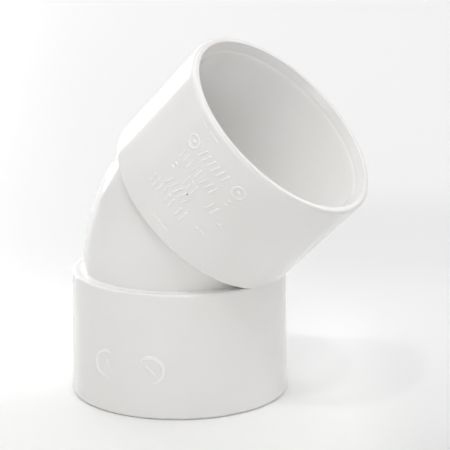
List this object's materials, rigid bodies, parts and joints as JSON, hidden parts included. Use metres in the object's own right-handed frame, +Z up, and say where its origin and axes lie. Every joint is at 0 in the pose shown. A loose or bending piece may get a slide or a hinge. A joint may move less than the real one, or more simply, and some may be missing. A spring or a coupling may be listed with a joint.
{
  "type": "pvc conduit elbow",
  "caption": "45 degree elbow for plastic pipe: two tapered sockets with square shoulders on a short bent tube, each with a pipe stop inside, in gloss white plastic.",
  "frame": {"origin": "centre of the lower socket's mouth, on the plane of its rim, which is what the elbow stands on", "axes": "+Z up along the lower socket's axis, into the elbow; the elbow bends 45 degrees towards +X, so XZ is the plane that halves it; the moulded marks are on the -Y side"},
  "size_m": [0.0671, 0.0486, 0.0798],
  "materials": {
    "white_plastic": "gloss",
    "raised_marks": "gloss"
  },
  "bodies": {
    "root": {"lower_socket": "white_plastic", "upper_socket": "white_plastic", "bend_tube": "white_plastic", "date_rings": "raised_marks", "date_pointers": "raised_marks", "size_rings": "raised_marks", "marking_rows": "raised_marks", "insert_witness_lines": "raised_marks"}
  },
  "joints": []
}
